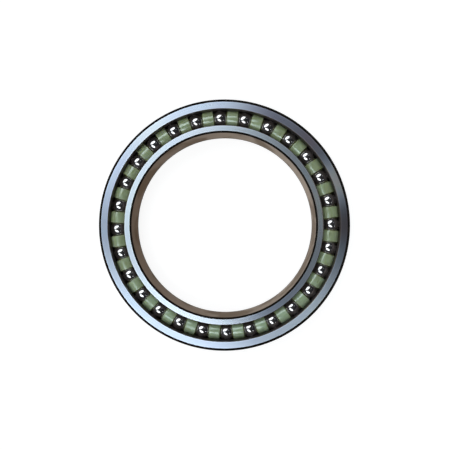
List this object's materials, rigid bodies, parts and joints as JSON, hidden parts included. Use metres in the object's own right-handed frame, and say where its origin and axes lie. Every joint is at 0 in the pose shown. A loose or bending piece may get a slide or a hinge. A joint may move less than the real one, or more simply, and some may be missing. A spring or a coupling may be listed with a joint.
{
  "type": "excavator travel bearing",
  "caption": "Thin-section angular contact ball bearing: inner and outer ring with a row of steel balls kept apart by loose green spacers.",
  "frame": {"origin": "centre of the lower ring faces, on the bearing's axis", "axes": "+Z along the bearing's axis, from the face the part lies on to the open face with the outer ring's high shoulder; +X and +Y in the plane of the rings"},
  "size_m": [0.3, 0.3, 0.038],
  "materials": {
    "inner_ring_steel": "ground through-hardened bearing steel, lightly oiled",
    "outer_ring_steel": "ground through-hardened bearing steel, lightly oiled",
    "ball_steel": "lapped and polished bearing steel",
    "spacer_nylon": "moulded green nylon, wet with oil"
  },
  "bodies": {
    "inner_ring": {"inner_ring": "inner_ring_steel"},
    "outer_ring": {"outer_ring": "outer_ring_steel"},
    "spacer_train": {"spacer_01": "spacer_nylon", "spacer_02": "spacer_nylon", "spacer_03": "spacer_nylon", "spacer_04": "spacer_nylon", "spacer_05": "spacer_nylon", "spacer_06": "spacer_nylon", "spacer_07": "spacer_nylon", "spacer_08": "spacer_nylon", "spacer_09": "spacer_nylon", "spacer_10": "spacer_nylon", "spacer_11": "spacer_nylon", "spacer_12": "spacer_nylon", "spacer_13": "spacer_nylon", "spacer_14": "spacer_nylon", "spacer_15": "spacer_nylon", "spacer_16": "spacer_nylon", "spacer_17": "spacer_nylon", "spacer_18": "spacer_nylon", "spacer_19": "spacer_nylon", "spacer_20": "spacer_nylon", "spacer_21": "spacer_nylon", "spacer_22": "spacer_nylon", "spacer_23": "spacer_nylon", "spacer_24": "spacer_nylon", "spacer_25": "spacer_nylon", "spacer_26": "spacer_nylon", "spacer_27": "spacer_nylon", "spacer_28": "spacer_nylon"},
    "ball_01": {"ball_01": "ball_steel"},
    "ball_02": {"ball_02": "ball_steel"},
    "ball_03": {"ball_03": "ball_steel"},
    "ball_04": {"ball_04": "ball_steel"},
    "ball_05": {"ball_05": "ball_steel"},
    "ball_06": {"ball_06": "ball_steel"},
    "ball_07": {"ball_07": "ball_steel"},
    "ball_08": {"ball_08": "ball_steel"},
    "ball_09": {"ball_09": "ball_steel"},
    "ball_10": {"ball_10": "ball_steel"},
    "ball_11": {"ball_11": "ball_steel"},
    "ball_12": {"ball_12": "ball_steel"},
    "ball_13": {"ball_13": "ball_steel"},
    "ball_14": {"ball_14": "ball_steel"},
    "ball_15": {"ball_15": "ball_steel"},
    "ball_16": {"ball_16": "ball_steel"},
    "ball_17": {"ball_17": "ball_steel"},
    "ball_18": {"ball_18": "ball_steel"},
    "ball_19": {"ball_19": "ball_steel"},
    "ball_20": {"ball_20": "ball_steel"},
    "ball_21": {"ball_21": "ball_steel"},
    "ball_22": {"ball_22": "ball_steel"},
    "ball_23": {"ball_23": "ball_steel"},
    "ball_24": {"ball_24": "ball_steel"},
    "ball_25": {"ball_25": "ball_steel"},
    "ball_26": {"ball_26": "ball_steel"},
    "ball_27": {"ball_27": "ball_steel"},
    "ball_28": {"ball_28": "ball_steel"}
  },
  "joints": [
    {"name": "outer_ring_turn", "type": "hinge", "parent": "inner_ring", "child": "outer_ring", "pos_m": [0, 0, 0.019], "axis": [0, 0, 1], "continuous": true},
    {"name": "spacer_train_turn", "type": "hinge", "parent": "inner_ring", "child": "spacer_train", "pos_m": [0, 0, 0.019], "axis": [0, 0, 1], "continuous": true},
    {"name": "ball_01_spin", "type": "hinge", "parent": "spacer_train", "child": "ball_01", "pos_m": [0.12999, 0.0012, 0.019], "axis": [-0.5736, -0.0053, 0.8192], "continuous": true},
    {"name": "ball_02_spin", "type": "hinge", "parent": "spacer_train", "child": "ball_02", "pos_m": [0.12658, 0.02961, 0.019], "axis": [-0.5585, -0.1307, 0.8192], "continuous": true},
    {"name": "ball_03_spin", "type": "hinge", "parent": "spacer_train", "child": "ball_03", "pos_m": [0.11669, 0.05731, 0.019], "axis": [-0.5148, -0.2528, 0.8192], "continuous": true},
    {"name": "ball_04_spin", "type": "hinge", "parent": "spacer_train", "child": "ball_04", "pos_m": [0.10063, 0.0823, 0.019], "axis": [-0.444, -0.3631, 0.8192], "continuous": true},
    {"name": "ball_05_spin", "type": "hinge", "parent": "spacer_train", "child": "ball_05", "pos_m": [0.07924, 0.10306, 0.019], "axis": [-0.3496, -0.4547, 0.8192], "continuous": true},
    {"name": "ball_06_spin", "type": "hinge", "parent": "spacer_train", "child": "ball_06", "pos_m": [0.05396, 0.11827, 0.019], "axis": [-0.2381, -0.5218, 0.8192], "continuous": true},
    {"name": "ball_07_spin", "type": "hinge", "parent": "spacer_train", "child": "ball_07", "pos_m": [0.0258, 0.12741, 0.019], "axis": [-0.1138, -0.5622, 0.8192], "continuous": true},
    {"name": "ball_08_spin", "type": "hinge", "parent": "spacer_train", "child": "ball_08", "pos_m": [-0.0037, 0.12995, 0.019], "axis": [0.0163, -0.5733, 0.8192], "continuous": true},
    {"name": "ball_09_spin", "type": "hinge", "parent": "spacer_train", "child": "ball_09", "pos_m": [-0.03291, 0.12576, 0.019], "axis": [0.1452, -0.5549, 0.8192], "continuous": true},
    {"name": "ball_10_spin", "type": "hinge", "parent": "spacer_train", "child": "ball_10", "pos_m": [-0.06043, 0.1151, 0.019], "axis": [0.2666, -0.5078, 0.8192], "continuous": true},
    {"name": "ball_11_spin", "type": "hinge", "parent": "spacer_train", "child": "ball_11", "pos_m": [-0.08475, 0.09857, 0.019], "axis": [0.3739, -0.4349, 0.8192], "continuous": true},
    {"name": "ball_12_spin", "type": "hinge", "parent": "spacer_train", "child": "ball_12", "pos_m": [-0.10456, 0.07724, 0.019], "axis": [0.4613, -0.3408, 0.8192], "continuous": true},
    {"name": "ball_13_spin", "type": "hinge", "parent": "spacer_train", "child": "ball_13", "pos_m": [-0.11913, 0.05204, 0.019], "axis": [0.5256, -0.2296, 0.8192], "continuous": true},
    {"name": "ball_14_spin", "type": "hinge", "parent": "spacer_train", "child": "ball_14", "pos_m": [-0.12774, 0.02413, 0.019], "axis": [0.5636, -0.1065, 0.8192], "continuous": true},
    {"name": "ball_15_spin", "type": "hinge", "parent": "spacer_train", "child": "ball_15", "pos_m": [-0.1299, -0.005, 0.019], "axis": [0.5732, 0.0221, 0.8192], "continuous": true},
    {"name": "ball_16_spin", "type": "hinge", "parent": "spacer_train", "child": "ball_16", "pos_m": [-0.12546, -0.03407, 0.019], "axis": [0.5535, 0.1503, 0.8192], "continuous": true},
    {"name": "ball_17_spin", "type": "hinge", "parent": "spacer_train", "child": "ball_17", "pos_m": [-0.11492, -0.06078, 0.019], "axis": [0.507, 0.2682, 0.8192], "continuous": true},
    {"name": "ball_18_spin", "type": "hinge", "parent": "spacer_train", "child": "ball_18", "pos_m": [-0.09896, -0.0843, 0.019], "axis": [0.4366, 0.3719, 0.8192], "continuous": true},
    {"name": "ball_19_spin", "type": "hinge", "parent": "spacer_train", "child": "ball_19", "pos_m": [-0.07829, -0.10379, 0.019], "axis": [0.3454, 0.4579, 0.8192], "continuous": true},
    {"name": "ball_20_spin", "type": "hinge", "parent": "spacer_train", "child": "ball_20", "pos_m": [-0.05341, -0.11852, 0.019], "axis": [0.2357, 0.5229, 0.8192], "continuous": true},
    {"name": "ball_21_spin", "type": "hinge", "parent": "spacer_train", "child": "ball_21", "pos_m": [-0.0254, -0.12749, 0.019], "axis": [0.1121, 0.5625, 0.8192], "continuous": true},
    {"name": "ball_22_spin", "type": "hinge", "parent": "spacer_train", "child": "ball_22", "pos_m": [0.0039, -0.12994, 0.019], "axis": [-0.0172, 0.5733, 0.8192], "continuous": true},
    {"name": "ball_23_spin", "type": "hinge", "parent": "spacer_train", "child": "ball_23", "pos_m": [0.03233, -0.12592, 0.019], "axis": [-0.1427, 0.5556, 0.8192], "continuous": true},
    {"name": "ball_24_spin", "type": "hinge", "parent": "spacer_train", "child": "ball_24", "pos_m": [0.05954, -0.11556, 0.019], "axis": [-0.2627, 0.5099, 0.8192], "continuous": true},
    {"name": "ball_25_spin", "type": "hinge", "parent": "spacer_train", "child": "ball_25", "pos_m": [0.08323, -0.09987, 0.019], "axis": [-0.3672, 0.4406, 0.8192], "continuous": true},
    {"name": "ball_26_spin", "type": "hinge", "parent": "spacer_train", "child": "ball_26", "pos_m": [0.10348, -0.07868, 0.019], "axis": [-0.4566, 0.3472, 0.8192], "continuous": true},
    {"name": "ball_27_spin", "type": "hinge", "parent": "spacer_train", "child": "ball_27", "pos_m": [0.11819, -0.05414, 0.019], "axis": [-0.5215, 0.2389, 0.8192], "continuous": true},
    {"name": "ball_28_spin", "type": "hinge", "parent": "spacer_train", "child": "ball_28", "pos_m": [0.12715, -0.02707, 0.019], "axis": [-0.561, 0.1194, 0.8192], "continuous": true}
  ],
  "couplings": [
    {"joint": "spacer_train_turn", "follows": "outer_ring_turn", "ratio": 0.53751},
    {"joint": "ball_01_spin", "follows": "outer_ring_turn", "ratio": 5.4286},
    {"joint": "ball_02_spin", "follows": "outer_ring_turn", "ratio": 5.4286},
    {"joint": "ball_03_spin", "follows": "outer_ring_turn", "ratio": 5.4286},
    {"joint": "ball_04_spin", "follows": "outer_ring_turn", "ratio": 5.4286},
    {"joint": "ball_05_spin", "follows": "outer_ring_turn", "ratio": 5.4286},
    {"joint": "ball_06_spin", "follows": "outer_ring_turn", "ratio": 5.4286},
    {"joint": "ball_07_spin", "follows": "outer_ring_turn", "ratio": 5.4286},
    {"joint": "ball_08_spin", "follows": "outer_ring_turn", "ratio": 5.4286},
    {"joint": "ball_09_spin", "follows": "outer_ring_turn", "ratio": 5.4286},
    {"joint": "ball_10_spin", "follows": "outer_ring_turn", "ratio": 5.4286},
    {"joint": "ball_11_spin", "follows": "outer_ring_turn", "ratio": 5.4286},
    {"joint": "ball_12_spin", "follows": "outer_ring_turn", "ratio": 5.4286},
    {"joint": "ball_13_spin", "follows": "outer_ring_turn", "ratio": 5.4286},
    {"joint": "ball_14_spin", "follows": "outer_ring_turn", "ratio": 5.4286},
    {"joint": "ball_15_spin", "follows": "outer_ring_turn", "ratio": 5.4286},
    {"joint": "ball_16_spin", "follows": "outer_ring_turn", "ratio": 5.4286},
    {"joint": "ball_17_spin", "follows": "outer_ring_turn", "ratio": 5.4286},
    {"joint": "ball_18_spin", "follows": "outer_ring_turn", "ratio": 5.4286},
    {"joint": "ball_19_spin", "follows": "outer_ring_turn", "ratio": 5.4286},
    {"joint": "ball_20_spin", "follows": "outer_ring_turn", "ratio": 5.4286},
    {"joint": "ball_21_spin", "follows": "outer_ring_turn", "ratio": 5.4286},
    {"joint": "ball_22_spin", "follows": "outer_ring_turn", "ratio": 5.4286},
    {"joint": "ball_23_spin", "follows": "outer_ring_turn", "ratio": 5.4286},
    {"joint": "ball_24_spin", "follows": "outer_ring_turn", "ratio": 5.4286},
    {"joint": "ball_25_spin", "follows": "outer_ring_turn", "ratio": 5.4286},
    {"joint": "ball_26_spin", "follows": "outer_ring_turn", "ratio": 5.4286},
    {"joint": "ball_27_spin", "follows": "outer_ring_turn", "ratio": 5.4286},
    {"joint": "ball_28_spin", "follows": "outer_ring_turn", "ratio": 5.4286}
  ]
}
